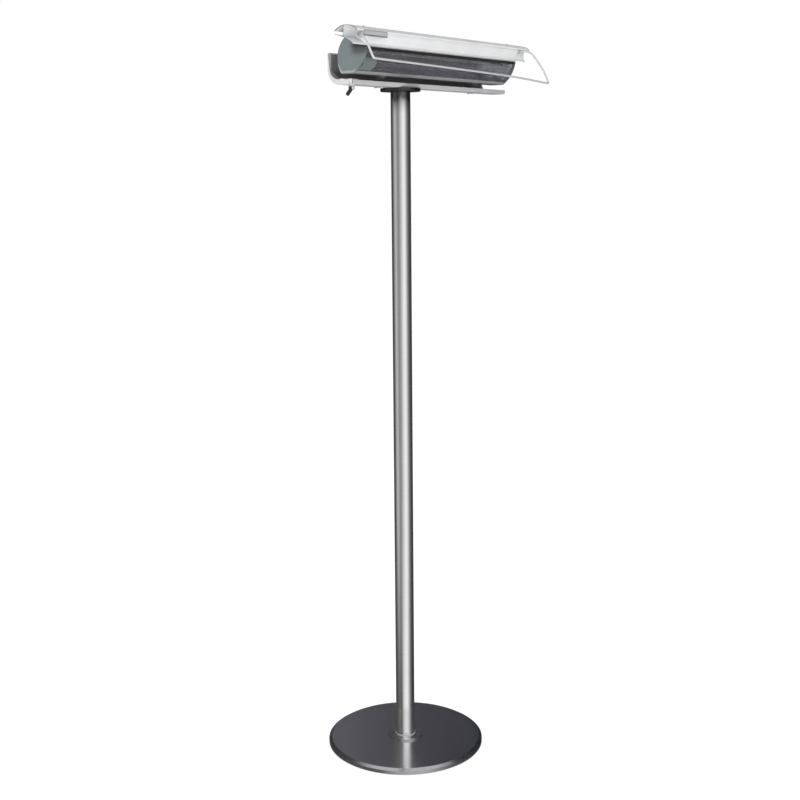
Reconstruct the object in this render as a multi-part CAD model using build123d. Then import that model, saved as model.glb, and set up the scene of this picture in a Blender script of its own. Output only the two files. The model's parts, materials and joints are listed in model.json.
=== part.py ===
from build123d import *
import math
import os

# Infrared patio heater on a tall post: a low round base, a steel tube, and at its top a
# bent tray that carries a tilting heater body with a quartz lamp, a hood and a wire guard.
# Millimetres. +Z is up, X runs along the heater body, and its front faces -Y.
# The origin lies on the floor, in the axis of the post.
# Cross-sections of the head are drawn as (front, height): front is the distance
# forward of the post's axis, height is measured from the floor.

# --- driving dimensions ---------------------------------------------------
base_diameter = 500
base_height = 20
cover_wall = 1.5
rim_width = 10
rim_drop = 6
skirt_gap = 3
weight_thickness = 10
weight_inset = 2
foot_count = 6
foot_diameter = 34
foot_inset = 34

post_diameter = 60.3
post_wall = 2
post_length = 2059
base_flange_diameter = 115
base_flange_thickness = 6
top_flange_diameter = 122
top_flange_thickness = 10
spigot_length = 40
spigot_wall = 6
fit = 0.05
flange_screw_count = 4
base_screw_diameter = 8
top_screw_diameter = 6
top_screw_angle = 10
post_screw_diameter = 6
post_screw_head = 11
post_screw_head_height = 3
screw_clearance = 0.2

head_offset = 135
tray_length = 816
tray_depth = 94
tray_front = 36
tray_wall = 2
tray_lip_height = 13
tray_back_height = 92
tray_back_bend = 44
tray_lip_bend = 5
tray_corner = 8

body_length = 806
body_wall = 1.5
cap_depth = 6
cap_edge = 2
pivot_front = -10
pivot_rise = 11

hinge_spread = 500
ear_wall = 2.5
ear_radius = 9
bracket_width = 30
bracket_depth = 26
bracket_front = 0
pin_diameter = 8
nut_across_flats = 13
nut_height = 6
bolt_end = 2
bracket_screw_diameter = 5
bracket_screw_spread = 13
lug_radius = 8
lug_side_gap = 0.3
lug_foot_depth = 30
lug_foot_inset = 5
lug_foot_thickness = 4

lamp_diameter = 11
lamp_wall = 1.2
lamp_pinch = 12
lamp_end_gap = 2
filament_diameter = 2.4
holder_width = 20
holder_height = 24
holder_thickness = 20
holder_corner = 3
terminal_cover_length = 54
terminal_cover_wall = 1.2
terminal_block_length = 34
terminal_block_depth = 16
terminal_block_height = 18
terminal_groove = 4
terminal_groove_offset = 4.5
reflector_wall = 1

hood_overhang = 64
hood_wall = 1.5
hood_hem = 4
visor_gap = 0.3
hood_bracket_length = 24
hood_bracket_wall = 2.5
spacer_diameter = 10
spacer_inset = 17
hood_screw_diameter = 4
hood_screw_reach = 2.5
hole_overrun = 2

guard_wire_diameter = 6
guard_bolt_diameter = 6
guard_head_diameter = 12
guard_head_height = 4
guard_head_bevel = 1.5
guard_nut_share = 0.85
guard_washer_diameter = 18
guard_washer_thickness = 1.5
guard_nut_height = 5
guard_eye_radius = 9
eye_overlap = 0.8
guard_first_bend = 9
guard_bend = 28
guard_corner_bend = 9

nameplate_length = 108
nameplate_height = 17
nameplate_thickness = 1
nameplate_inset = 34
nameplate_drop = 0.5

switch_inset = 18
switch_front = 14
switch_length = 32
switch_depth = 26
switch_height = 14
switch_corner = 3
fork_size = 16
fork_wall = 2
fork_drop = 7.5
fork_corner = 2
fork_pin_end = 1
lever_diameter = 11
lever_length = 28
lever_lean = 46
lever_pin_diameter = 4
lever_tip_bevel = 1.5

gland_x = 60
gland_rise = 13
gland_diameter = 20
gland_nut = 24
gland_collar = 8
gland_dome = 14
gland_dome_step = 2
gland_dome_bevel = 4
gland_nut_height = 5
gland_thread_end = 6

edge_break = 1
screw_head_share = 0.9
screw_head_height_share = 0.6
flange_bevel = 0.8
screw_end_cover = 1

# Places in the head's section: distances forward of the tilt axis and above it.
mouth_top_at = (91.5, 90)
mouth_bottom_at = (42.5, 17.5)
mouth_bulge_at = (74, 47)
heel_at = (-3.5, 17.5)
back_bulge_at = (-17, 68)
ridge_at = (10.5, 120)
crown_at = (53, 113.5)
lip_end_at = (50.3, 25)
reflector_top_at = (87, 84)
reflector_crown_at = (60, 103)
reflector_corner_at = (27, 97)
reflector_back_at = (9, 62)
reflector_heel_at = (26, 31)
reflector_lip_at = (45, 26)
cover_brow_at = (77.5, 61)
cover_nose_at = (79, 48)
cover_chin_at = (67, 34.5)
cover_foot_at = (58, 27)
terminal_block_at = (46, 46)
lamp_at = (48, 82)
arch_back_at = (26, 131)
arch_peak_at = (65, 146)
arch_front_at = (104, 133)
visor_back_at = 28
visor_front_inset = 3
bracket_back_at = 42
bracket_top_inset = 3
bracket_foot_inset = 4
guard_bolt_at = (71, 124)

# The guard wire's bends, from its bolt: outward, forward and upward.
# It hangs lower on the right, and its long run has one slight bend.
arm_eye_bend = (0, 15, 1)
left_side_bend = (34, 34, -1)
left_shoulder_bend = (60, 57, -13)
left_drop_bend = (69, 77, -30)
left_corner_bend = (71, 101, -75)
right_side_bend = (27, 31, 1)
right_shoulder_bend = (56, 44, -3)
right_drop_bend = (70, 62, -33)
right_knee_bend = (71, 85, -61)
right_corner_bend = (71, 102, -104)
rod_bend_share = 0.74
rod_bend_rise = 6.5

# --- levels and places that follow ----------------------------------------
post_bottom = base_height + base_flange_thickness
post_top = post_bottom + post_length
tray_bottom = post_top + top_flange_thickness
tray_floor = tray_bottom + tray_wall
tray_back = tray_front - tray_depth
tray_start = head_offset - tray_length / 2
tray_end = head_offset + tray_length / 2
body_start = head_offset - body_length / 2
body_end = head_offset + body_length / 2
shell_start = body_start + cap_depth
shell_end = body_end - cap_depth
pivot_height = tray_floor + pivot_rise
switch_x = tray_start + switch_inset
hinge_places = (head_offset - hinge_spread / 2, head_offset + hinge_spread / 2)
hood_start = body_start - hood_overhang
hood_end = body_end + hood_overhang


def at_pivot(place):
    """A point of the head's section, given from the tilt axis."""
    front, rise = place
    return (pivot_front + front, pivot_height + rise)


# The body's section, from the tilt axis: the mouth runs from its upper corner down and
# back to its lower corner, and the casing goes round behind it over heel and ridge.
mouth_top = at_pivot(mouth_top_at)
mouth_bottom = at_pivot(mouth_bottom_at)
mouth_bulge = at_pivot(mouth_bulge_at)
heel = at_pivot(heel_at)
back_bulge = at_pivot(back_bulge_at)
ridge = at_pivot(ridge_at)
crown = at_pivot(crown_at)
lip_end = at_pivot(lip_end_at)


def profile_plane(x):
    """The plane across the head at x, with front and height as its two axes."""
    return Plane(origin=(x, 0, 0), x_dir=(0, -1, 0), z_dir=(-1, 0, 0))


def along_x(face, start, end):
    """Extrudes a section of the head from start to end along X."""
    return extrude(profile_plane(end) * face, amount=end - start)


def strip(path, thickness, side):
    """The section of a bent sheet: a path and its thickness to one side."""
    return make_face(offset(path, amount=thickness, side=side, kind=Kind.INTERSECTION))


def rod_x(front, height, radius, start, end):
    """A round bar along X."""
    return along_x(Pos(front, height) * Circle(radius), start, end)


def rod_z(x, y, radius, bottom, top):
    """A round bar along Z."""
    return Pos(x, y, bottom) * extrude(Circle(radius), amount=top - bottom)


def bar_y(x, z, section, front, back):
    """A bar of any section along Y, from front to back, both measured forward."""
    place = Plane(origin=(x, -back, z), x_dir=(1, 0, 0), z_dir=(0, -1, 0))
    return extrude(place * section, amount=front - back)


def rod_y(x, z, radius, front, back):
    """A round bar along Y, from front to back, both measured forward."""
    return bar_y(x, z, Circle(radius), front, back)


def ring_places(count, radius, first=45):
    """Evenly spaced places on a circle about the post."""
    angles = [math.radians(first + 360 * i / count) for i in range(count)]
    return [(radius * math.cos(a), radius * math.sin(a)) for a in angles]


# --- base ------------------------------------------------------------------
cover_underside = base_height - cover_wall
weight_radius = base_diameter / 2 - rim_width - weight_inset
weight_bottom = cover_underside - weight_thickness
base_screw_circle = (base_flange_diameter + post_diameter) / 4
base_screws_at = ring_places(flange_screw_count, base_screw_circle)
base_head_radius = base_screw_diameter * screw_head_share
base_head_depth = base_head_radius - base_screw_diameter / 2


def make_base_cover():
    """Spun sheet cover: flat top, sloping rim and a short skirt."""
    r = base_diameter / 2
    path = Polyline(
        (0, base_height),
        (r - rim_width, base_height),
        (r, base_height - rim_drop),
        (r, skirt_gap),
    )
    cover = revolve(Plane.XZ * strip(path, cover_wall, Side.RIGHT), axis=Axis.Z)
    for x, y in base_screws_at:
        cover -= rod_z(x, y, base_screw_diameter / 2 + screw_clearance, cover_underside, base_height)
    return cover


def make_base_weight():
    """Steel disc under the cover that keeps the tower upright."""
    disc = rod_z(0, 0, weight_radius, weight_bottom, cover_underside)
    for x, y in base_screws_at:
        disc -= rod_z(x, y, base_screw_diameter / 2 + fit, weight_bottom, cover_underside)
    return disc


def make_base_feet():
    """Rubber pads under the weight: a ring of them, and one below the post."""
    feet = []
    for x, y in [(0, 0), *ring_places(foot_count, weight_radius - foot_inset, first=0)]:
        feet.append(rod_z(x, y, foot_diameter / 2, 0, weight_bottom))
    return feet


def countersunk_screw(x, y, head_top, shank_bottom, diameter, head_radius, head_depth):
    """A flat-head screw that points down."""
    shank = rod_z(x, y, diameter / 2, shank_bottom, head_top)
    cone = Pos(x, y, head_top - head_depth / 2) * Cone(diameter / 2, head_radius, head_depth)
    return shank + cone


def make_base_flange():
    """Round flange at the foot of the post, with a spigot inside the tube."""
    spigot_radius = post_diameter / 2 - post_wall - fit
    flange = rod_z(0, 0, base_flange_diameter / 2, base_height, post_bottom)
    flange = chamfer(flange.edges().sort_by(Axis.Z)[-1], flange_bevel)
    flange += rod_z(0, 0, spigot_radius, post_bottom, post_bottom + spigot_length)
    flange -= rod_z(0, 0, spigot_radius - spigot_wall, base_height, post_bottom + spigot_length)
    for x, y in base_screws_at:
        flange -= rod_z(x, y, base_screw_diameter / 2 + screw_clearance, base_height, post_bottom)
        flange -= Pos(x, y, post_bottom - base_head_depth / 2) * Cone(
            base_screw_diameter / 2 + fit, base_head_radius + fit, base_head_depth
        )
    return flange


def make_base_screws():
    """Flat-head screws through flange and cover into the weight."""
    end = weight_bottom + screw_end_cover
    return [
        countersunk_screw(
            x, y, post_bottom, end, base_screw_diameter, base_head_radius, base_head_depth
        )
        for x, y in base_screws_at
    ]


# --- post ------------------------------------------------------------------
post_screw_heights = (post_bottom + spigot_length / 2, post_top - spigot_length / 2)


def make_post():
    """The tube, with a screw hole at the back near each end."""
    tube = rod_z(0, 0, post_diameter / 2, post_bottom, post_top)
    tube -= rod_z(0, 0, post_diameter / 2 - post_wall, post_bottom, post_top)
    for z in post_screw_heights:
        tube -= rod_y(0, z, post_screw_diameter / 2 + screw_clearance, 0, -post_diameter)
    return tube


def make_post_screws():
    """Pan-head screws that hold the tube on its two spigots."""
    head_seat = -math.sqrt((post_diameter / 2) ** 2 - (post_screw_head / 2) ** 2)
    head_out = -post_diameter / 2 - post_screw_head_height
    tip = -post_diameter / 2 + post_wall + fit + spigot_wall - screw_end_cover
    screws = []
    for z in post_screw_heights:
        head = rod_y(0, z, post_screw_head / 2, head_seat, head_out)
        head -= rod_z(0, 0, post_diameter / 2 + fit, z - post_screw_head, z + post_screw_head)
        shank = rod_y(0, z, post_screw_diameter / 2, tip, head_out)
        screws.append(head + shank)
    return screws


top_screw_circle = (top_flange_diameter + post_diameter) / 4
top_screw_x = top_screw_circle * math.cos(math.radians(top_screw_angle))
top_screw_y = top_screw_circle * math.sin(math.radians(top_screw_angle))
top_screws_at = [(x, y) for x in (-top_screw_x, top_screw_x) for y in (-top_screw_y, top_screw_y)]
top_head_radius = top_screw_diameter * screw_head_share
top_head_height = top_screw_diameter * screw_head_height_share


def make_top_flange():
    """Round flange at the head of the post: the tray is screwed down on it."""
    spigot_radius = post_diameter / 2 - post_wall - fit
    flange = rod_z(0, 0, top_flange_diameter / 2, post_top, tray_bottom)
    flange = chamfer(flange.edges().sort_by(Axis.Z)[0], edge_break)
    flange += rod_z(0, 0, spigot_radius, post_top - spigot_length, post_top)
    flange -= rod_z(0, 0, spigot_radius - spigot_wall, post_top - spigot_length, tray_bottom)
    for x, y in top_screws_at:
        flange -= rod_z(x, y, top_screw_diameter / 2 + fit, post_top, tray_bottom)
    return flange


def with_post_screw_holes(flange):
    """Tapped holes in the spigots for the screws in the post."""
    for z in post_screw_heights:
        flange -= rod_y(0, z, post_screw_diameter / 2 + fit, 0, -post_diameter)
    return flange


def make_top_screws():
    """Pan-head screws from the tray down into the top flange."""
    screws = []
    for x, y in top_screws_at:
        head = rod_z(x, y, top_head_radius, tray_floor, tray_floor + top_head_height)
        screws.append(head + rod_z(x, y, top_screw_diameter / 2, post_top, tray_floor))
    return screws


# --- tray ------------------------------------------------------------------
bracket_screws_front = [bracket_front + side * bracket_screw_spread / 2 for side in (-1, 1)]
gland_height = tray_bottom + tray_back_bend + gland_rise


def make_tray():
    """Bent sheet under the body: front lip, floor, rounded heel and high back wall."""
    path = FilletPolyline(
        (tray_front, tray_bottom + tray_lip_height),
        (tray_front, tray_bottom),
        (tray_back, tray_bottom),
        (tray_back, tray_bottom + tray_back_height),
        radius=[tray_lip_bend, tray_back_bend],
    )
    tray = along_x(strip(path, tray_wall, Side.RIGHT), tray_start, tray_end)
    rims = tray.edges().filter_by(Axis.Y).group_by(Axis.Z)[-1]
    tray = fillet(rims, tray_corner)
    for x, y in top_screws_at:
        tray -= rod_z(x, y, top_screw_diameter / 2 + screw_clearance, tray_bottom, tray_floor)
    for x in hinge_places:
        for front in bracket_screws_front:
            hole = bracket_screw_diameter / 2 + screw_clearance
            tray -= rod_z(x, -front, hole, tray_bottom, tray_floor)
    gland_hole = gland_diameter / 2 + screw_clearance
    tray -= rod_y(gland_x, gland_height, gland_hole, tray_back + tray_wall, tray_back)
    return tray


def make_cable_gland():
    """Cable inlet in the tray's back wall: body, outer dome and inner nut."""
    at = (gland_x, gland_height)
    collar_end = tray_back - gland_collar
    dome_end = collar_end - gland_dome
    nut_seat = tray_back + tray_wall
    thread_end = nut_seat + gland_thread_end
    hexagon = RegularPolygon(gland_nut / 2, 6, major_radius=False)
    collar = bar_y(*at, hexagon, tray_back, collar_end)
    dome = rod_y(*at, gland_nut / 2 - gland_dome_step, collar_end, dome_end)
    dome = chamfer(dome.edges().sort_by(Axis.Y)[-1], gland_dome_bevel)
    thread = rod_y(*at, gland_diameter / 2, thread_end, tray_back)
    nut = bar_y(*at, hexagon, nut_seat + gland_nut_height, nut_seat)
    bore = rod_y(*at, gland_diameter / 4, thread_end, dome_end)
    return collar + dome + thread + nut - bore


# --- tilt hinge ------------------------------------------------------------
bracket_bottom = tray_floor
ear_inner = bracket_width / 2 - ear_wall
pin_bore = pin_diameter / 2 + fit
ear_top_at = (pivot_front, pivot_height)


def make_brackets():
    """U-shaped brackets on the tray floor that hold the hinge pins."""
    brackets = []
    half = bracket_depth / 2
    for x in hinge_places:
        side = make_face(
            Polyline(
                (bracket_front - half, bracket_bottom),
                (bracket_front + half, bracket_bottom),
                (bracket_front + half, bracket_bottom + ear_wall),
                (pivot_front + ear_radius, pivot_height),
                (pivot_front - ear_radius, pivot_height),
                (bracket_front - half, bracket_bottom + ear_wall),
                close=True,
            )
        )
        side += Pos(*ear_top_at) * Circle(ear_radius)
        block = along_x(side, x - bracket_width / 2, x + bracket_width / 2)
        room = Pos(bracket_front, bracket_bottom + ear_wall + bracket_depth) * Rectangle(
            bracket_depth * 2, bracket_depth * 2
        )
        block -= along_x(room, x - ear_inner, x + ear_inner)
        block -= rod_x(pivot_front, pivot_height, pin_bore, x - bracket_width, x + bracket_width)
        for front in bracket_screws_front:
            hole = bracket_screw_diameter / 2 + fit
            block -= rod_z(x, -front, hole, bracket_bottom, bracket_bottom + ear_wall)
        brackets.append(block)
    return brackets


def make_bracket_screws():
    """Pan-head screws from below the tray into the brackets."""
    screws = []
    for x in hinge_places:
        for front in bracket_screws_front:
            head_radius = bracket_screw_diameter * screw_head_share
            head_height = bracket_screw_diameter * screw_head_height_share
            head = rod_z(x, -front, head_radius, tray_bottom - head_height, tray_bottom)
            shank_top = bracket_bottom + ear_wall
            screws.append(
                head + rod_z(x, -front, bracket_screw_diameter / 2, tray_bottom, shank_top)
            )
    return screws


def hexagon_x(start, end):
    """A hexagon on the tilt axis, as a bolt head or nut."""
    outline = Pos(pivot_front, pivot_height) * RegularPolygon(
        nut_across_flats / 2, 6, major_radius=False
    )
    return along_x(outline, start, end)


def make_hinge_bolts():
    """Hinge bolts on the tilt axis, heads towards the right."""
    bolts = []
    for x in hinge_places:
        outer = x + bracket_width / 2
        shank_end = x - bracket_width / 2 - nut_height - bolt_end
        bolt = hexagon_x(outer, outer + nut_height)
        bolts.append(
            bolt + rod_x(pivot_front, pivot_height, pin_diameter / 2, shank_end, outer)
        )
    return bolts


def make_hinge_nuts():
    """Lock nuts whose grip holds the tilt."""
    nuts = []
    for x in hinge_places:
        outer = x - bracket_width / 2
        nut = hexagon_x(outer - nut_height, outer)
        nut -= rod_x(pivot_front, pivot_height, pin_bore, outer - nut_height, outer)
        nuts.append(nut)
    return nuts


def make_hinge_lugs():
    """Lugs under the body that turn on the hinge bolts."""
    lugs = []
    lug_half = ear_inner - lug_side_gap
    foot_top = mouth_bottom[1]
    foot_back = heel[0] + lug_foot_inset
    foot_bottom = foot_top - lug_foot_thickness
    for x in hinge_places:
        section = Pos(*ear_top_at) * Circle(lug_radius)
        section += make_face(
            Polyline(
                (pivot_front - lug_radius / 2, pivot_height),
                (pivot_front + lug_radius, pivot_height),
                (foot_back + lug_foot_depth, foot_bottom),
                (foot_back + lug_foot_depth, foot_top),
                (foot_back, foot_top),
                (foot_back, foot_bottom),
                close=True,
            )
        )
        lug = along_x(section, x - lug_half, x + lug_half)
        lug -= rod_x(pivot_front, pivot_height, pin_bore, x - lug_half, x + lug_half)
        lugs.append(lug)
    return lugs


# --- heater body -----------------------------------------------------------
def body_outline():
    """The closed section of the heater body."""
    mouth = ThreePointArc(mouth_top, mouth_bulge, mouth_bottom)
    bottom = Line(mouth_bottom, heel)
    back = ThreePointArc(heel, back_bulge, ridge)
    top = ThreePointArc(ridge, crown, mouth_top)
    return make_face([mouth, bottom, back, top])


def make_body_shell():
    """Bent casing round the body's back, with a small lip along its lower front edge."""
    path = Wire(
        [
            Line(lip_end, mouth_bottom),
            Line(mouth_bottom, heel),
            ThreePointArc(heel, back_bulge, ridge),
            ThreePointArc(ridge, crown, mouth_top),
        ]
    )
    shell = along_x(strip(path, body_wall, Side.RIGHT), shell_start, shell_end)
    return shell - hood_screw_holes()


def make_end_cap(start, end, closed_side):
    """Pressed cap over one end of the casing, with a rounded rim."""
    cap = along_x(body_outline(), start, end)
    rim = cap.faces().sort_by(Axis.X)[0 if closed_side < 0 else -1].edges()
    cap = chamfer(rim, cap_edge)
    inner = offset(body_outline(), amount=-body_wall)
    if closed_side < 0:
        return cap - along_x(inner, start + body_wall, end)
    return cap - along_x(inner, start, end - body_wall)


# The reflector's section, from the tilt axis.
reflector_top = at_pivot(reflector_top_at)
reflector_crown = at_pivot(reflector_crown_at)
reflector_corner = at_pivot(reflector_corner_at)
reflector_back = at_pivot(reflector_back_at)
reflector_heel = at_pivot(reflector_heel_at)
reflector_lip = at_pivot(reflector_lip_at)
lamp_front, lamp_height = at_pivot(lamp_at)
cover_end = shell_start + terminal_cover_length
cover_brow = at_pivot(cover_brow_at)
cover_chin = at_pivot(cover_chin_at)
cover_foot = at_pivot(cover_foot_at)


def trough_path():
    """The bends of the reflector, from its upper front edge to its lower one."""
    return [
        ThreePointArc(reflector_top, reflector_crown, reflector_corner),
        ThreePointArc(reflector_corner, reflector_back, reflector_heel),
        Line(reflector_heel, reflector_lip),
    ]


def cover_outline():
    """The section of the terminal cover: the trough's lower part with a rounded nose."""
    corner = (cover_brow[0], reflector_corner[1])
    whole = make_face(
        [
            ThreePointArc(cover_brow, at_pivot(cover_nose_at), cover_chin),
            Line(cover_chin, cover_foot),
            Line(cover_foot, reflector_lip),
            Line(reflector_lip, reflector_heel),
            ThreePointArc(reflector_heel, reflector_back, reflector_corner),
            Line(reflector_corner, corner),
            Line(corner, cover_brow),
        ]
    )
    below = Pos(cover_brow[0], cover_brow[1] - body_length / 2) * Rectangle(body_length, body_length)
    return whole & below


def make_reflector():
    """Bent trough behind the lamp, closed at both ends round the lamp holders."""
    trough = along_x(strip(Wire(trough_path()), reflector_wall, Side.LEFT), shell_start, shell_end)
    mouth = Line(reflector_lip, reflector_top)
    room = Pos(lamp_front, lamp_height) * RectangleRounded(
        holder_width + 2 * screw_clearance, holder_height + 2 * screw_clearance, holder_corner
    )
    end_plate = make_face([*trough_path(), mouth]) - room
    for start in (shell_start, shell_end - reflector_wall):
        trough += along_x(end_plate, start, start + reflector_wall)
    return trough - along_x(cover_outline(), shell_start, cover_end)


def make_terminal_cover():
    """Low box over the wiring in the left end of the trough, open towards the end cap."""
    cover = along_x(cover_outline(), shell_start, cover_end)
    inner = offset(cover_outline(), amount=-terminal_cover_wall)
    return cover - along_x(inner, shell_start, cover_end - terminal_cover_wall)


def make_terminal_block():
    """Ceramic block for the lamp's leads, on the left end cap under its cover."""
    start = body_start + body_wall
    front, height = at_pivot(terminal_block_at)
    section = Pos(front, height) * Rectangle(terminal_block_depth, terminal_block_height)
    block = along_x(section, start, start + terminal_block_length)
    for step in (-1, 1):
        groove_at = (front + terminal_block_depth / 2, height + step * terminal_groove_offset)
        groove = Pos(*groove_at) * Rectangle(terminal_groove, terminal_groove)
        end = start + terminal_block_length
        block -= along_x(groove, start + terminal_groove, end - terminal_groove)
    return block


lamp_start = body_start + body_wall + lamp_end_gap
lamp_end = body_end - body_wall - lamp_end_gap


def make_lamp_tube():
    """Quartz tube, hollow between its two sealed ends."""
    radius = lamp_diameter / 2
    tube = rod_x(lamp_front, lamp_height, radius, lamp_start, lamp_end)
    hollow = rod_x(
        lamp_front, lamp_height, radius - lamp_wall, lamp_start + lamp_pinch, lamp_end - lamp_pinch
    )
    return tube - hollow


def make_filament():
    """Heating wire from one sealed end to the other."""
    start = lamp_start + lamp_pinch
    return rod_x(lamp_front, lamp_height, filament_diameter / 2, start, lamp_end - lamp_pinch)


def make_lamp_holders():
    """Ceramic holders on the two end caps."""
    seats = (body_start + body_wall, body_end - body_wall - holder_thickness)
    holders = []
    for seat in seats:
        outline = RectangleRounded(holder_width, holder_height, holder_corner)
        block = along_x(Pos(lamp_front, lamp_height) * outline, seat, seat + holder_thickness)
        bore_start = max(seat, lamp_start)
        bore_end = min(seat + holder_thickness, lamp_end)
        bore_radius = lamp_diameter / 2 + fit
        block -= rod_x(lamp_front, lamp_height, bore_radius, bore_start, bore_end)
        holders.append(block)
    return holders


# --- hood ------------------------------------------------------------------
def circle_through(a, b, c):
    """Centre and radius of the circle through three points of a section."""
    ax, ay, bx, by, cx, cy = *a, *b, *c
    d = 2 * (ax * (by - cy) + bx * (cy - ay) + cx * (ay - by))
    aa, bb, cc = ax**2 + ay**2, bx**2 + by**2, cx**2 + cy**2
    x = (aa * (by - cy) + bb * (cy - ay) + cc * (ay - by)) / d
    y = (aa * (cx - bx) + bb * (ax - cx) + cc * (bx - ax)) / d
    return x, y, math.hypot(ax - x, ay - y)


def on_circle(circle, grow, front):
    """The upper point of a circle at a given front, with its radius made larger by grow."""
    x, y, radius = circle
    return (front, y + math.sqrt((radius + grow) ** 2 - (front - x) ** 2))


def arc_between(circle, grow, front_a, front_b):
    """An arc of a circle between two fronts."""
    middle = (front_a + front_b) / 2
    places = [on_circle(circle, grow, f) for f in (front_a, middle, front_b)]
    return ThreePointArc(*places)


body_top = circle_through(ridge, crown, mouth_top)
arch_back = at_pivot(arch_back_at)
arch_peak = at_pivot(arch_peak_at)
arch_front = at_pivot(arch_front_at)
arch = circle_through(arch_back, arch_peak, arch_front)
visor_back = pivot_front + visor_back_at
visor_front = mouth_top[0] - visor_front_inset
bracket_back = pivot_front + bracket_back_at
bracket_top_front = arch_front[0] - bracket_top_inset
bracket_foot_front = visor_front - bracket_foot_inset
spacer_front = arch[0]
visor_low = visor_gap
visor_high = visor_gap + hood_wall
hood_screw_end = body_wall + hood_screw_reach
spacer_places = (body_start + spacer_inset, body_end - spacer_inset)
spacer_low = visor_high + hood_bracket_wall
spacer_high = -hood_wall - hood_bracket_wall


def hood_screw_holes():
    """The holes for the long hood screws, through every sheet that they hold."""
    bottom = on_circle(body_top, -hood_screw_end - hole_overrun, spacer_front)[1]
    top = on_circle(arch, hole_overrun, spacer_front)[1]
    hole = hood_screw_diameter / 2 + screw_clearance
    return [rod_z(x, -spacer_front, hole, bottom, top) for x in spacer_places]


def make_hood():
    """Arched sheet over the body, open below, with a short hem along its front edge."""
    hem_end = (arch_front[0], arch_front[1] - hood_hem)
    path = Wire([arc_between(arch, 0, arch_back[0], arch_front[0]), Line(arch_front, hem_end)])
    hood = along_x(strip(path, hood_wall, Side.RIGHT), hood_start, hood_end)
    return hood - hood_screw_holes()


def make_visor():
    """Lower sheet of the hood, which lies on the body and reaches past its ends."""
    face = make_face(
        [
            arc_between(body_top, visor_high, visor_back, visor_front),
            Line(
                on_circle(body_top, visor_high, visor_front),
                on_circle(body_top, visor_low, visor_front),
            ),
            arc_between(body_top, visor_low, visor_front, visor_back),
            Line(
                on_circle(body_top, visor_low, visor_back),
                on_circle(body_top, visor_high, visor_back),
            ),
        ]
    )
    return along_x(face, hood_start, hood_end) - hood_screw_holes()


def hood_gap(top_back, foot_back):
    """The section of the space between the two sheets, from its slanted front to a line behind."""
    return make_face(
        [
            arc_between(arch, -hood_wall, top_back, bracket_top_front),
            Line(
                on_circle(arch, -hood_wall, bracket_top_front),
                on_circle(body_top, visor_high, bracket_foot_front),
            ),
            arc_between(body_top, visor_high, bracket_foot_front, foot_back),
            Line(
                on_circle(body_top, visor_high, foot_back),
                on_circle(arch, -hood_wall, top_back),
            ),
        ]
    )


def make_hood_brackets():
    """Slanted front web between the two sheets, with a pressed bracket at each end."""
    guard_hole = guard_bolt_diameter / 2 + screw_clearance
    outline = hood_gap(bracket_back, bracket_back)
    web = hood_gap(bracket_top_front - hood_bracket_wall, bracket_foot_front - hood_bracket_wall)
    inner = offset(outline, amount=-hood_bracket_wall)
    inner_start = body_start + hood_bracket_wall
    inner_end = body_end - hood_bracket_wall
    left_end = body_start + hood_bracket_length
    right_start = body_end - hood_bracket_length
    frame = along_x(web, body_start, body_end)
    frame += along_x(outline, body_start, left_end) - along_x(inner, inner_start, left_end)
    frame += along_x(outline, right_start, body_end) - along_x(inner, right_start, inner_end)
    return frame - hood_screw_holes() - rod_x(*guard_at, guard_hole, body_start, body_end)


def make_hood_spacers():
    """Round spacers inside the brackets, round the long screws."""
    low = on_circle(body_top, spacer_low, spacer_front)[1] - spacer_diameter
    high = on_circle(arch, spacer_high, spacer_front)[1]
    reach = spacer_front - spacer_diameter, spacer_front + spacer_diameter
    below = make_face(
        [
            arc_between(body_top, spacer_low, *reach),
            Line(on_circle(body_top, spacer_low, reach[1]), (reach[1], low - spacer_diameter)),
            Line((reach[1], low - spacer_diameter), (reach[0], low - spacer_diameter)),
            Line((reach[0], low - spacer_diameter), on_circle(body_top, spacer_low, reach[0])),
        ]
    )
    above = make_face(
        [
            arc_between(arch, spacer_high, *reach),
            Line(on_circle(arch, spacer_high, reach[1]), (reach[1], high + spacer_diameter)),
            Line((reach[1], high + spacer_diameter), (reach[0], high + spacer_diameter)),
            Line((reach[0], high + spacer_diameter), on_circle(arch, spacer_high, reach[0])),
        ]
    )
    spacers = []
    for x in spacer_places:
        spacer = rod_z(x, -spacer_front, spacer_diameter / 2, low, high + hole_overrun)
        for rest in (below, above):
            spacer -= along_x(rest, x - spacer_diameter, x + spacer_diameter)
        spacers.append(spacer - hood_screw_holes())
    return spacers


def make_hood_screws():
    """Long screws through hood, brackets, spacers and visor into the body's casing."""
    head_seat = on_circle(arch, 0, spacer_front)[1]
    end = on_circle(body_top, -hood_screw_end, spacer_front)[1]
    head_radius = hood_screw_diameter * screw_head_share
    head_height = hood_screw_diameter * screw_head_height_share
    screws = []
    for x in spacer_places:
        head = rod_z(x, -spacer_front, head_radius, head_seat, head_seat + head_height)
        head = chamfer(head.edges().sort_by(Axis.Z)[-1], edge_break)
        screws.append(head + rod_z(x, -spacer_front, hood_screw_diameter / 2, end, head_seat))
    return screws


def make_nameplate():
    """Bare plate on the hood's front hem."""
    top = arch_front[1] - nameplate_drop
    start = hood_start + nameplate_inset
    face = Pos(arch_front[0] + nameplate_thickness / 2, top - nameplate_height / 2) * Rectangle(
        nameplate_thickness, nameplate_height
    )
    return along_x(face, start, start + nameplate_length)


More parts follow.
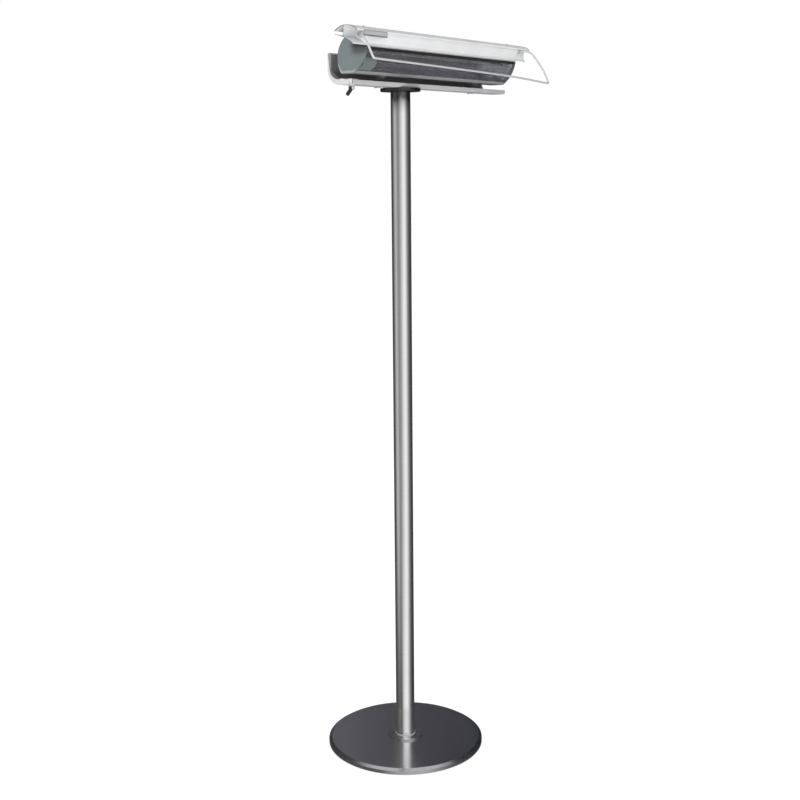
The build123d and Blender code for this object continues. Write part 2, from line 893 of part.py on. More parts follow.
# --- guard -----------------------------------------------------------------
guard_at = at_pivot(guard_bolt_at)
left_arm_bends = (
    arm_eye_bend,
    left_side_bend,
    left_shoulder_bend,
    left_drop_bend,
    left_corner_bend,
)
right_arm_bends = (
    arm_eye_bend,
    right_side_bend,
    right_shoulder_bend,
    right_drop_bend,
    right_knee_bend,
    right_corner_bend,
)
guard_radius = guard_wire_diameter / 2
eye_left = body_start - guard_washer_thickness - guard_radius
eye_right = body_end + guard_washer_thickness + guard_radius


def guard_point(side, bend):
    """A bend of the wire as a place in the object."""
    out, forward, up = bend
    x = eye_left - out if side < 0 else eye_right + out
    return Vector(x, -(guard_at[0] + forward), guard_at[1] + up)


def make_guard():
    """Bent wire in front of the lamp, with a welded eye at each end."""
    left = [guard_point(-1, bend) for bend in left_arm_bends]
    right = [guard_point(1, bend) for bend in right_arm_bends]
    bend = left[-1] + (right[-1] - left[-1]) * rod_bend_share + Vector(0, 0, rod_bend_rise)
    eye_edge = guard_eye_radius * eye_overlap
    start = guard_point(-1, (0, eye_edge, 0))
    end = guard_point(1, (0, eye_edge, 0))
    points = [start, *left, bend, *reversed(right), end]
    left_radii = [guard_first_bend] + [guard_bend] * (len(left) - 2) + [guard_corner_bend]
    right_radii = [guard_first_bend] + [guard_bend] * (len(right) - 2) + [guard_corner_bend]
    radii = [*left_radii, guard_bend, *reversed(right_radii)]
    path = FilletPolyline(*points, radius=radii)
    section = Plane(origin=path @ 0, z_dir=path % 0) * Circle(guard_radius)
    wire = sweep(section, path=path)
    hole = guard_bolt_diameter / 2 + screw_clearance
    for x in (eye_left, eye_right):
        wire += rod_x(*guard_at, guard_eye_radius, x - guard_radius, x + guard_radius)
        wire -= rod_x(*guard_at, hole, x - guard_radius, x + guard_radius)
    return wire


def make_guard_washers():
    """Washers between the wire's eyes and the hood brackets."""
    hole = guard_bolt_diameter / 2 + screw_clearance
    washers = []
    for start in (body_start - guard_washer_thickness, body_end):
        end = start + guard_washer_thickness
        disc = rod_x(*guard_at, guard_washer_diameter / 2, start, end)
        washers.append(disc - rod_x(*guard_at, hole, start, end))
    return washers


def make_guard_bolts():
    """Round-head bolts through the eyes, with a nut inside each bracket."""
    bolts = []
    thickness = guard_washer_thickness + guard_wire_diameter
    for side, face in ((-1, body_start), (1, body_end)):
        seat = face + side * thickness
        crown_at = seat + side * guard_head_height
        nut_at = face - side * hood_bracket_wall
        nut_end = nut_at - side * guard_nut_height
        head = rod_x(*guard_at, guard_head_diameter / 2, min(seat, crown_at), max(seat, crown_at))
        head = chamfer(head.edges().sort_by(Axis.X)[-1 if side > 0 else 0], guard_head_bevel)
        shank = rod_x(
            *guard_at, guard_bolt_diameter / 2, min(seat, nut_end), max(seat, nut_end)
        )
        nut = along_x(
            Pos(*guard_at) * RegularPolygon(guard_bolt_diameter * guard_nut_share, 6, major_radius=False),
            min(nut_at, nut_end),
            max(nut_at, nut_end),
        )
        bolts.append(head + shank + nut)
    return bolts


# --- switch ----------------------------------------------------------------
lever_pivot_z = tray_bottom - fork_wall - fork_drop
lever_half = lever_diameter / 2


def make_switch_box():
    """Closed switch housing on the tray floor."""
    box = Pos(switch_x, -switch_front, tray_floor + switch_height / 2) * Box(
        switch_length, switch_depth, switch_height
    )
    return fillet(box.edges().filter_by(Axis.Z), switch_corner)


def make_switch_fork():
    """Fork under the tray that carries the lever on a pin."""
    base = Pos(switch_x, -switch_front, tray_bottom - fork_wall / 2) * Box(
        fork_size, fork_size, fork_wall
    )
    fork = fillet(base.edges().filter_by(Axis.Z), fork_corner)
    for side in (-1, 1):
        ear_front = switch_front + side * (lever_half + lug_side_gap + fork_wall / 2)
        ear = rod_y(
            switch_x, lever_pivot_z, lever_half, ear_front + fork_wall / 2, ear_front - fork_wall / 2
        )
        ear += Pos(switch_x, -ear_front, lever_pivot_z + fork_drop / 2) * Box(
            lever_diameter, fork_wall, fork_drop
        )
        fork += ear
    reach = lever_half + lug_side_gap + fork_wall + fork_pin_end
    fork += rod_y(
        switch_x, lever_pivot_z, lever_pin_diameter / 2, switch_front + reach, switch_front - reach
    )
    return fork


def make_switch_lever():
    """Round lever that leans to the left from its pin."""
    lean = math.radians(lever_lean)
    plane = Plane(
        origin=(switch_x, -switch_front, lever_pivot_z),
        z_dir=(-math.sin(lean), 0, -math.cos(lean)),
    )
    stem = plane * extrude(Circle(lever_half), amount=lever_length)
    stem = chamfer(stem.edges().sort_by(Axis.X)[0], lever_tip_bevel)
    hub = rod_y(
        switch_x, lever_pivot_z, lever_half, switch_front + lever_half, switch_front - lever_half
    )
    lever = stem + hub
    sides = Pos(switch_x, -switch_front, lever_pivot_z) * Box(
        lever_length * 4, lever_diameter, lever_length * 4
    )
    lever &= sides
    return lever - rod_y(
        switch_x,
        lever_pivot_z,
        lever_pin_diameter / 2 + fit,
        switch_front + lever_diameter,
        switch_front - lever_diameter,
    )


# --- the parts ---------------------------------------------------------------
nodes = {
    "base_cover": make_base_cover(),
    "base_weight": make_base_weight(),
    "base_feet": make_base_feet(),
    "base_flange": with_post_screw_holes(make_base_flange()),
    "base_flange_screws": make_base_screws(),
    "post_tube": make_post(),
    "post_screws": make_post_screws(),
    "top_flange": with_post_screw_holes(make_top_flange()),
    "top_flange_screws": make_top_screws(),
    "tray": make_tray(),
    "cable_gland": make_cable_gland(),
    "hinge_brackets": make_brackets(),
    "hinge_bracket_screws": make_bracket_screws(),
    "hinge_bolts": make_hinge_bolts(),
    "hinge_nuts": make_hinge_nuts(),
    "hinge_lugs": make_hinge_lugs(),
    "body_shell": make_body_shell(),
    "end_cap_left": make_end_cap(body_start, shell_start, -1),
    "end_cap_right": make_end_cap(shell_end, body_end, 1),
    "reflector": make_reflector(),
    "terminal_cover": make_terminal_cover(),
    "terminal_block": make_terminal_block(),
    "lamp_holders": make_lamp_holders(),
    "lamp_tube": make_lamp_tube(),
    "lamp_filament": make_filament(),
    "hood": make_hood(),
    "hood_visor": make_visor(),
    "hood_brackets": make_hood_brackets(),
    "hood_spacers": make_hood_spacers(),
    "hood_screws": make_hood_screws(),
    "nameplate": make_nameplate(),
    "guard_wire": make_guard(),
    "guard_washers": make_guard_washers(),
    "guard_bolts": make_guard_bolts(),
    "switch_housing": make_switch_box(),
    "switch_fork": make_switch_fork(),
    "switch_lever": make_switch_lever(),
}

os.makedirs("parts", exist_ok=True)
for name, made in nodes.items():
    pieces = made if isinstance(made, list) else [made]
    solids = [solid for piece in pieces for solid in piece.solids()]
    shape = solids[0] if len(solids) == 1 else Compound(children=solids)
    export_step(shape, f"parts/{name}.step")
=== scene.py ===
import json
import math

import bmesh
import bpy
from mathutils import Matrix, Vector
from mathutils.bvhtree import BVHTree


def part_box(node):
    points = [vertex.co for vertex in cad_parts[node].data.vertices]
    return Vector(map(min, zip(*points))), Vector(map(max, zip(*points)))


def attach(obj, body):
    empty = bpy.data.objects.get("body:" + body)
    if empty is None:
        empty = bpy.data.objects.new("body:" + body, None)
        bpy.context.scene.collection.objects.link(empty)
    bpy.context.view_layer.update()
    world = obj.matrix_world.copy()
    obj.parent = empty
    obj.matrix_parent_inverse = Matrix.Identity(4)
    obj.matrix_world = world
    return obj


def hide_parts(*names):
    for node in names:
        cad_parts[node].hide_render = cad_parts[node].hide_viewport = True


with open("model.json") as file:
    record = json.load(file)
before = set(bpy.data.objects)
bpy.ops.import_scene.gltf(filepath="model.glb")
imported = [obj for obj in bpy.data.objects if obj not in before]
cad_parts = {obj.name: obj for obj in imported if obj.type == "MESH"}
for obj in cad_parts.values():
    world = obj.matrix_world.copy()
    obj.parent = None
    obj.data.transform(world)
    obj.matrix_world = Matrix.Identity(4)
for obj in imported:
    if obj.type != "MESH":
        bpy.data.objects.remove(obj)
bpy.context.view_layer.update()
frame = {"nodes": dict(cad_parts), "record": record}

scene = bpy.context.scene
MM = 0.001
UP = Vector((0, 0, 1))
FULL_TURN = 2 * math.pi

# --- camera -------------------------------------------------------------------
PHOTO_SIDE = 800
FOCAL_PIXELS = 1257.18
SENSOR = 36.0
CAMERA_AT = Vector((-3.1330, -2.2983, 1.8878))
CAMERA_HEADING = math.radians(53.62)
CAMERA_PITCH = math.radians(9.14)
CAMERA_ROLL = -0.0083
FRAME_SHIFT = -0.05


def make_camera():
    """The photograph's viewpoint: in front of the heater's left end, a little above its middle."""
    data = bpy.data.cameras.new("camera")
    data.lens = SENSOR * FOCAL_PIXELS / PHOTO_SIDE
    data.sensor_width = SENSOR
    data.shift_y = FRAME_SHIFT
    camera = bpy.data.objects.new("camera", data)
    scene.collection.objects.link(camera)
    across = Vector((math.cos(CAMERA_HEADING), -math.sin(CAMERA_HEADING), 0))
    away = Vector((math.sin(CAMERA_HEADING), math.cos(CAMERA_HEADING), 0))
    ahead = away * math.cos(CAMERA_PITCH) - UP * math.sin(CAMERA_PITCH)
    above = away * math.sin(CAMERA_PITCH) + UP * math.cos(CAMERA_PITCH)
    right = across * math.cos(CAMERA_ROLL) + above * math.sin(CAMERA_ROLL)
    top = above * math.cos(CAMERA_ROLL) - across * math.sin(CAMERA_ROLL)
    turn = Matrix((right, top, -ahead)).transposed().to_4x4()
    camera.matrix_world = Matrix.Translation(CAMERA_AT) @ turn
    scene.camera = camera


make_camera()


# --- node helpers -------------------------------------------------------------
def set_sockets(node, sockets):
    """Write constants into input sockets; an underscore in a name stands for a space."""
    for name, value in sockets.items():
        node.inputs[name.replace("_", " ")].default_value = value
    return node


def add(tree, kind, **sockets):
    """A new node with some of its input sockets set to constants."""
    return set_sockets(tree.nodes.new(kind), sockets)


def split(tree, vector):
    """The x, y and z sockets of a vector socket."""
    node = tree.nodes.new("ShaderNodeSeparateXYZ")
    tree.links.new(vector, node.inputs[0])
    return node.outputs


def math_node(tree, operation, a, b=None):
    """A math node: a and b are sockets or numbers."""
    node = tree.nodes.new("ShaderNodeMath")
    node.operation = operation
    for slot, value in zip(node.inputs, (a, b)):
        if isinstance(value, bpy.types.NodeSocket):
            tree.links.new(value, slot)
        elif value is not None:
            slot.default_value = value
    return node.outputs[0]


def ramp(tree, factor, stops):
    """A colour ramp through (position, colour) stops, where a colour may be one grey number."""
    node = tree.nodes.new("ShaderNodeValToRGB")
    marks = node.color_ramp.elements
    while len(marks) < len(stops):
        marks.new(0.5)
    for mark, (position, colour) in zip(marks, stops):
        mark.position = position
        grey = isinstance(colour, (int, float))
        mark.color = (colour, colour, colour, 1) if grey else (*colour, 1)
    tree.links.new(factor, node.inputs[0])
    return node.outputs[0]


# Where a mix node keeps its factor, its two colours and its result.
MIX_FACTOR = 0
MIX_A = 6
MIX_B = 7
MIX_RESULT = 2


def mix_colour(tree, factor, a, b, blend="MIX"):
    """A colour mix: factor, a and b are sockets or constants."""
    node = tree.nodes.new("ShaderNodeMix")
    node.data_type = "RGBA"
    node.blend_type = blend
    for place, value in ((MIX_FACTOR, factor), (MIX_A, a), (MIX_B, b)):
        slot = node.inputs[place]
        if isinstance(value, bpy.types.NodeSocket):
            tree.links.new(value, slot)
        elif isinstance(value, (int, float)):
            slot.default_value = value if slot.type == "VALUE" else (value, value, value, 1)
        else:
            slot.default_value = (*value, 1)
    return node.outputs[MIX_RESULT]


# --- light --------------------------------------------------------------------
scene.view_settings.view_transform = "Standard"

# What polished metal sees round the studio, by compass angle from +X, in degrees:
# near the horizon, and well above or below it.
SURROUND = (
    (-180, 0.28),
    (-170, 0.31),
    (-157, 0.45),
    (-144, 0.64),
    (-131, 0.84),
    (-117, 0.98),
    (-104, 0.92),
    (-89, 0.64),
    (-74, 0.30),
    (-57, 0.14),
    (-38, 0.07),
    (31, (0.020, 0.022, 0.034)),
    (36, (0.042, 0.042, 0.051)),
    (41, (0.130, 0.122, 0.146)),
    (60, 0.07),
    (96, 0.07),
    (112, 0.16),
    (130, 0.42),
    (147, 0.54),
    (162, 0.42),
    (172, 0.28),
    (180, 0.28),
)
SURROUND_HIGH = (
    (-180, 0.14),
    (-170, 0.48),
    (-157, 0.84),
    (-131, 0.97),
    (-112, 0.92),
    (-95, 0.55),
    (-74, 0.18),
    (-50, 0.06),
    (31, (0.020, 0.022, 0.034)),
    (36, (0.042, 0.042, 0.051)),
    (41, (0.130, 0.122, 0.146)),
    (60, 0.07),
    (150, 0.08),
    (170, 0.10),
    (180, 0.14),
)
# Shares by how far a direction rises or falls, from 0 to 1: of the higher bands where it does either,
# of the white ceiling where it rises, and of the level underfoot where it falls.
STEEPNESS = ((0.0, 0.0), (0.29, 0.0), (0.42, 1.0), (1.0, 1.0))
OVERHEAD = ((0.0, 0.0), (0.80, 0.0), (0.92, 1.0), (1.0, 1.0))
UNDERFOOT = ((0.0, 0.0), (0.47, 0.0), (0.56, 1.0), (1.0, 1.0))
UNDERFOOT_LEVEL = 0.42
ROOM_LEVEL = 0.72
WHITE = 1.0


def make_world():
    """A pale even room for matt surfaces, and a studio of dark and bright bands for polished ones."""
    world = bpy.data.worlds.new("studio")
    scene.world = world
    world.use_nodes = True
    world.cycles.sampling_method = "NONE"
    tree = world.node_tree
    tree.nodes.clear()
    x, y, height = split(tree, tree.nodes.new("ShaderNodeTexCoord").outputs["Generated"])
    angle = math_node(tree, "ARCTAN2", y, x)
    turn = math_node(tree, "ADD", math_node(tree, "DIVIDE", angle, FULL_TURN), 0.5)
    level = ramp(tree, turn, [((a + 180) / 360, colour) for a, colour in SURROUND])
    raised = ramp(tree, turn, [((a + 180) / 360, colour) for a, colour in SURROUND_HIGH])
    steep = ramp(tree, math_node(tree, "ABSOLUTE", height), STEEPNESS)
    below = ramp(tree, math_node(tree, "MULTIPLY", height, -1.0), UNDERFOOT)
    bands = mix_colour(tree, steep, level, raised)
    bands = mix_colour(tree, below, bands, UNDERFOOT_LEVEL)
    studio = mix_colour(tree, ramp(tree, height, OVERHEAD), bands, WHITE)
    path = tree.nodes.new("ShaderNodeLightPath").outputs
    seen = math_node(tree, "MAXIMUM", path["Is Camera Ray"], path["Is Transmission Ray"])
    matt = mix_colour(tree, path["Is Glossy Ray"], ROOM_LEVEL, studio)
    background = add(tree, "ShaderNodeBackground")
    tree.links.new(mix_colour(tree, seen, matt, WHITE), background.inputs["Color"])
    output = tree.nodes.new("ShaderNodeOutputWorld")
    tree.links.new(background.outputs[0], output.inputs[0])


# Name, place, target, size in metres and power in watts of each lamp.
LAMPS = (
    ("key", (0.6, -4.5, 4.2), (0.0, 0.0, 1.4), 3.0, 70),
    ("fill", (-4.5, -0.5, 2.6), (0.0, 0.0, 1.6), 3.0, 110),
    ("low", (-2.5, -1.9, 0.25), (-0.2, 0.0, 2.2), 2.0, 130),
)


def make_lamp(name, place, target, size, watts):
    """A square soft lamp that points from one place to another."""
    data = bpy.data.lights.new(name, "AREA")
    data.shape = "SQUARE"
    data.size = size
    data.energy = watts
    lamp = bpy.data.objects.new(name, data)
    scene.collection.objects.link(lamp)
    lamp.location = place
    lamp.rotation_euler = (Vector(target) - Vector(place)).to_track_quat("-Z", "Y").to_euler()
    lamp.visible_glossy = False
    lamp.visible_camera = False


FLOOR_HALF = 30.0
FLOOR_TONE = (0.80, 0.80, 0.80)
FLOOR_GLOW = 0.45


def make_floor():
    """A pale floor that keeps the object's shadow and lets polished metal see the studio."""
    mesh = bpy.data.meshes.new("floor")
    corners = [(x * FLOOR_HALF, y * FLOOR_HALF, 0) for x, y in ((-1, -1), (1, -1), (1, 1), (-1, 1))]
    mesh.from_pydata(corners, [], [(0, 1, 2, 3)])
    floor = bpy.data.objects.new("floor", mesh)
    scene.collection.objects.link(floor)
    material = bpy.data.materials.new("floor")
    material.use_nodes = True
    tree = material.node_tree
    tree.nodes.clear()
    path = tree.nodes.new("ShaderNodeLightPath").outputs
    matt = add(tree, "ShaderNodeBsdfDiffuse", Color=(*FLOOR_TONE, 1))
    glow = add(tree, "ShaderNodeEmission")
    strength = math_node(tree, "MULTIPLY", path["Is Camera Ray"], FLOOR_GLOW)
    tree.links.new(strength, glow.inputs["Strength"])
    both = tree.nodes.new("ShaderNodeAddShader")
    clear = tree.nodes.new("ShaderNodeBsdfTransparent")
    choice = tree.nodes.new("ShaderNodeMixShader")
    output = tree.nodes.new("ShaderNodeOutputMaterial")
    tree.links.new(matt.outputs[0], both.inputs[0])
    tree.links.new(glow.outputs[0], both.inputs[1])
    tree.links.new(path["Is Glossy Ray"], choice.inputs[0])
    tree.links.new(both.outputs[0], choice.inputs[1])
    tree.links.new(clear.outputs[0], choice.inputs[2])
    tree.links.new(choice.outputs[0], output.inputs[0])
    mesh.materials.append(material)


make_world()
for lamp in LAMPS:
    make_lamp(*lamp)
make_floor()


# --- materials ------------------------------------------------------------------
NOISE_LOW = 0.3
NOISE_HIGH = 0.7
NOISE_ROUGHNESS = 0.55


def new_material(name, colour, metallic, roughness, **sockets):
    """A Principled material, its tree and its shader."""
    material = bpy.data.materials.new(name)
    material.use_nodes = True
    shader = material.node_tree.nodes["Principled BSDF"]
    base = {"Base Color": (*colour, 1), "Metallic": metallic, "Roughness": roughness}
    set_sockets(shader, {**base, **sockets})
    return material, material.node_tree, shader


def place_of(tree, stretch=1):
    """Object coordinates in metres, multiplied by one number or axis by axis."""
    mapping = tree.nodes.new("ShaderNodeMapping")
    mapping.inputs["Scale"].default_value = (stretch,) * 3 if isinstance(stretch, int) else stretch
    tree.links.new(tree.nodes.new("ShaderNodeTexCoord").outputs["Object"], mapping.inputs["Vector"])
    return mapping.outputs[0]


def noise(tree, stretch, detail):
    """A noise value, mostly between NOISE_LOW and NOISE_HIGH, on stretched object coordinates."""
    node = add(tree, "ShaderNodeTexNoise", Scale=1.0, Detail=detail, Roughness=NOISE_ROUGHNESS)
    tree.links.new(place_of(tree, stretch), node.inputs["Vector"])
    return node.outputs["Fac"]


def vary(tree, factor, low, high, start=NOISE_LOW, end=NOISE_HIGH):
    """A number that runs from low to high while the factor runs from start to end."""
    node = add(tree, "ShaderNodeMapRange", From_Min=start, From_Max=end, To_Min=low, To_Max=high)
    tree.links.new(factor, node.inputs["Value"])
    return node.outputs[0]


def two_tone(tree, shader, factor, dark, light):
    """Base colour between two tones by a noise value."""
    share = vary(tree, factor, 0.0, 1.0)
    tree.links.new(mix_colour(tree, share, dark, light), shader.inputs["Base Color"])


def rough(tree, shader, factor, *reach):
    """Roughness by a noise value: reach is the low and high roughness, and where it starts and ends."""
    tree.links.new(vary(tree, factor, *reach), shader.inputs["Roughness"])


def bump(tree, shader, height, distance, strength):
    """Small relief from a height value, in metres."""
    node = add(tree, "ShaderNodeBump", Strength=strength, Distance=distance)
    tree.links.new(height, node.inputs["Height"])
    tree.links.new(node.outputs[0], shader.inputs["Normal"])


def lay_over(tree, factor, tone, blend="MIX"):
    """A tone laid over the base colour that a material already has."""
    base = tree.nodes["Principled BSDF"].inputs["Base Color"]
    tree.links.new(mix_colour(tree, factor, base.links[0].from_socket, tone, blend), base)


# In each family of finishes a noise is its stretch in cycles per metre and its detail,
# gloss is how far the roughness swings, and relief is its depth and strength.
GRAIN_DETAIL = 2.0
GRAIN_SHARE = 0.6
METAL_CLOUDS = (6, 4.0)
METAL_GLOSS = (0.75, 1.35)
METAL_RELIEF = (0.02 * MM, 0.5)


def brushed_metal(name, dark, light, roughness, grain, metallic=1.0):
    """Ground or brushed metal: fine grain lines, cloudy gloss and a slight tone drift."""
    material, tree, shader = new_material(name, light, metallic, roughness)
    lines = noise(tree, grain, GRAIN_DETAIL)
    clouds = noise(tree, *METAL_CLOUDS)
    fine = math_node(tree, "MULTIPLY", lines, GRAIN_SHARE)
    both = math_node(tree, "ADD", fine, math_node(tree, "MULTIPLY", clouds, 1 - GRAIN_SHARE))
    two_tone(tree, shader, both, dark, light)
    rough(tree, shader, both, roughness * METAL_GLOSS[0], roughness * METAL_GLOSS[1])
    bump(tree, shader, lines, *METAL_RELIEF)
    return material


PAINT_PEEL = (900, 2.0)
PAINT_CLOUDS = (9, 5.0)
PAINT_GLOSS = (0.85, 1.2)
PAINT_RELIEF = (0.04 * MM, 0.6)


def painted_metal(name, dark, light, roughness):
    """Powder-coated sheet or glaze: fine orange peel and faint cloudy wear."""
    material, tree, shader = new_material(name, light, 0.0, roughness)
    peel = noise(tree, *PAINT_PEEL)
    clouds = noise(tree, *PAINT_CLOUDS)
    two_tone(tree, shader, clouds, dark, light)
    rough(tree, shader, clouds, roughness * PAINT_GLOSS[0], roughness * PAINT_GLOSS[1])
    bump(tree, shader, peel, *PAINT_RELIEF)
    return material


PLASTIC_PORES = (1400, 3.0)
PLASTIC_CLOUDS = (30, 3.0)
PLASTIC_GLOSS = (0.9, 1.15)
PLASTIC_RELIEF = (0.05 * MM, 0.7)


def moulded_plastic(name, dark, light, roughness):
    """Plastic or rubber with a fine moulded texture."""
    material, tree, shader = new_material(name, light, 0.0, roughness)
    pores = noise(tree, *PLASTIC_PORES)
    clouds = noise(tree, *PLASTIC_CLOUDS)
    two_tone(tree, shader, clouds, dark, light)
    rough(tree, shader, pores, roughness * PLASTIC_GLOSS[0], roughness * PLASTIC_GLOSS[1])
    bump(tree, shader, pores, *PLASTIC_RELIEF)
    return material


DISC_TOP = (0.90, 0.90, 0.92)
# The rim's tone is painted darker than the top as shade, by how far the surface faces up.
DISC_RIM_SHADE = (0.46, 0.46, 0.48)
DISC_UPRIGHT = (0.93, 0.98)
DISC_CLOUDS = (7, 4.0)
DISC_CLOUD_TONES = (0.93, 1.0)
DISC_SCRATCHES = (900, 2.0)
DISC_GLOSS = (0.03, 0.42)
DISC_GLOSS_FROM = 0.42
DISC_GLOSS_TO = 0.62


def polished_disc(name):
    """Polished steel with hair-fine scratches: a sharp reflection in a soft haze, and its turned rim painted
    darker than the top, as shade.
    """
    material, tree, shader = new_material(name, DISC_TOP, 1.0, DISC_GLOSS[0])
    facing = split(tree, tree.nodes.new("ShaderNodeNewGeometry").outputs["Normal"])
    level = vary(tree, facing[2], 0.0, 1.0, *DISC_UPRIGHT)
    clouds = vary(tree, noise(tree, *DISC_CLOUDS), *DISC_CLOUD_TONES)
    tree.links.new(mix_colour(tree, level, DISC_RIM_SHADE, DISC_TOP), shader.inputs["Base Color"])
    lay_over(tree, 1.0, clouds, "MULTIPLY")
    scratches = noise(tree, *DISC_SCRATCHES)
    rough(tree, shader, scratches, *DISC_GLOSS, DISC_GLOSS_FROM, DISC_GLOSS_TO)
    return material


QUARTZ_TONE = (0.93, 0.93, 0.95)
QUARTZ_IOR = 1.46
QUARTZ_FROST = ((3, 300, 300), 3.0)
QUARTZ_GLOSS = (0.02, 0.14)


def clear_quartz(name):
    """Clear quartz with a faint streaky frost."""
    optics = {"IOR": QUARTZ_IOR, "Transmission Weight": 1.0}
    material, tree, shader = new_material(name, QUARTZ_TONE, 0.0, QUARTZ_GLOSS[0], **optics)
    rough(tree, shader, noise(tree, *QUARTZ_FROST), *QUARTZ_GLOSS)
    return material


# The stretch of a brushed finish's grain where it runs one way.
ALONG_X = (4, 900, 900)
AROUND_Z = (25, 25, 1600)
# Name, dark tone, light tone, roughness, grain and, where it isn't 1, metallic share.
BRUSHED = (
    ("plain_steel", (0.16, 0.16, 0.17), (0.30, 0.29, 0.28), 0.55, 120),
    ("fastener_steel", (0.50, 0.50, 0.50), (0.68, 0.68, 0.67), 0.28, 700),
    ("post_steel", (0.80, 0.80, 0.80), (0.90, 0.90, 0.89), 0.12, AROUND_Z),
    ("dark_steel", (0.05, 0.05, 0.052), (0.10, 0.10, 0.10), 0.35, 400),
    ("tray_steel", (0.58, 0.58, 0.59), (0.72, 0.72, 0.73), 0.34, ALONG_X, 0.45),
    # The body's steel is the tray's steel painted darker, as shade.
    ("body_steel", (0.30, 0.30, 0.31), (0.42, 0.42, 0.43), 0.30, ALONG_X, 0.5),
    ("rim_steel", (0.30, 0.30, 0.31), (0.38, 0.38, 0.39), 0.30, ALONG_X, 0.4),
    ("reflector_metal", (0.42, 0.42, 0.46), (0.60, 0.60, 0.65), 0.24, ALONG_X, 0.85),
    ("plate_metal", (0.38, 0.38, 0.39), (0.50, 0.50, 0.51), 0.35, ALONG_X, 0.2),
    ("plate_edge", (0.20, 0.20, 0.21), (0.30, 0.30, 0.31), 0.40, ALONG_X, 0.2),
    ("guard_steel", (0.42, 0.42, 0.43), (0.53, 0.53, 0.53), 0.30, 500, 0.1),
)
CAP_GREY = ((0.105, 0.126, 0.126), (0.126, 0.148, 0.148), 0.42)
# Name, dark tone, light tone and roughness.
PAINTED = (
    ("cap_paint", *CAP_GREY),
    # The left cap's paint, with painted shade under the visor laid over it.
    ("cap_left_paint", *CAP_GREY),
    # A matt dark grey painted as shade, for the sheet and the hinge parts in the gap under the body.
    ("shield_paint", (0.10, 0.10, 0.105), (0.15, 0.15, 0.155), 0.55),
    # The ceramic is painted darker than its own pale glaze, as shade inside the trough.
    ("ceramic", (0.17, 0.165, 0.16), (0.24, 0.235, 0.225), 0.35),
    ("hood_white", (0.63, 0.635, 0.64), (0.69, 0.695, 0.70), 0.38),
)
MOULDED = (
    ("rubber", (0.012, 0.012, 0.013), (0.028, 0.028, 0.029), 0.7),
    ("black_plastic", (0.010, 0.010, 0.011), (0.022, 0.022, 0.023), 0.42),
)

finish = {name: make(name) for name, make in (("base_steel", polished_disc), ("quartz", clear_quartz))}
for make, table in ((brushed_metal, BRUSHED), (painted_metal, PAINTED), (moulded_plastic, MOULDED)):
    for name, *look in table:
        finish[name] = make(name, *look)

# A dark line painted along the hood's end edges, as the shade on them.
END_EDGE = 3.5 * MM
END_SHADE_TONE = (0.16, 0.16, 0.165)


def shade_ends(material, start, end):
    """Painted shade along the two end edges of a painted sheet, which run across x."""
    tree = material.node_tree
    x = split(tree, place_of(tree))[0]
    offset = math_node(tree, "ABSOLUTE", math_node(tree, "SUBTRACT", x, (start + end) / 2))
    edge = math_node(tree, "GREATER_THAN", offset, (end - start) / 2 - END_EDGE)
    lay_over(tree, edge, END_SHADE_TONE)


# How far down the painted shade at the top of the post reaches, its steps and its ragged edge.
POST_SHADE_REACH = 70 * MM
POST_SHADE = ((0.0, 0.14), (0.22, 0.14), (0.32, 0.28), (0.44, 0.55), (0.64, 0.76), (0.86, 0.95), (1.0, 1.0))
POST_SHADE_STREAKS = ((90, 90, 8), 3.0)
POST_SHADE_RAGGED = 0.6


def shade_post_top(material, top):
    """Painted shade and dark reflection on the steel below a height, with a ragged edge, under the flange and
    tray above.
    """
    tree = material.node_tree
    height = split(tree, place_of(tree))[2]
    depth = math_node(tree, "DIVIDE", math_node(tree, "SUBTRACT", top, height), POST_SHADE_REACH)
    streaks = math_node(tree, "SUBTRACT", noise(tree, *POST_SHADE_STREAKS), 0.5)
    ragged = math_node(tree, "ADD", depth, math_node(tree, "MULTIPLY", streaks, POST_SHADE_RAGGED))
    lay_over(tree, 1.0, ramp(tree, ragged, POST_SHADE), "MULTIPLY")


# Where the painted shade under the visor starts above the cap's lowest edge, and fades out behind its
# foremost edge.
CAP_SHADE_TOP = 86.5 * MM
CAP_SHADE_REACH = 44 * MM
CAP_SHADE = ((0.0, 0.19), (0.30, 0.21), (0.42, 0.38), (0.64, 0.50), (0.78, 0.76), (1.0, 1.0))
CAP_SHADE_NONE = 65.5 * MM
CAP_SHADE_FULL = 43.5 * MM


def shade_cap_corner(material, front, foot):
    """Painted shade on the end cap's front upper corner, under the visor."""
    tree = material.node_tree
    _, y, height = split(tree, place_of(tree))
    fall = math_node(tree, "SUBTRACT", foot + CAP_SHADE_TOP, height)
    level = ramp(tree, math_node(tree, "DIVIDE", fall, CAP_SHADE_REACH), CAP_SHADE)
    share = vary(tree, y, 0.0, 1.0, front + CAP_SHADE_NONE, front + CAP_SHADE_FULL)
    lay_over(tree, share, level, "MULTIPLY")


# Painted shade on the end edges of the hood's white sheet.
shade_ends(finish["hood_white"], *(corner[0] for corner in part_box("hood")))
# Painted shade and dark reflection at the top of the post, under the head.
shade_post_top(finish["post_steel"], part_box("post_tube")[1][2])
# Painted shade on the left end cap under the visor.
shade_cap_corner(finish["cap_left_paint"], *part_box("end_cap_left")[0][1:])


# --- detail pieces --------------------------------------------------------------
def dress(piece, body, slot, look=None):
    """Let a new piece ride on a body and wear a slot's finish, or another look in that slot."""
    piece.data.materials.append(finish[look or slot])
    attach(piece, body)
    return piece


def linked(name, mesh):
    """A mesh as a smooth object in the scene."""
    mesh.shade_smooth()
    piece = bpy.data.objects.new(name, mesh)
    scene.collection.objects.link(piece)
    return piece


CURVE_ORDER = 3
CURVE_STEPS = 10
CURVE_SIDES = 4
PLAIN_SIDES = 2


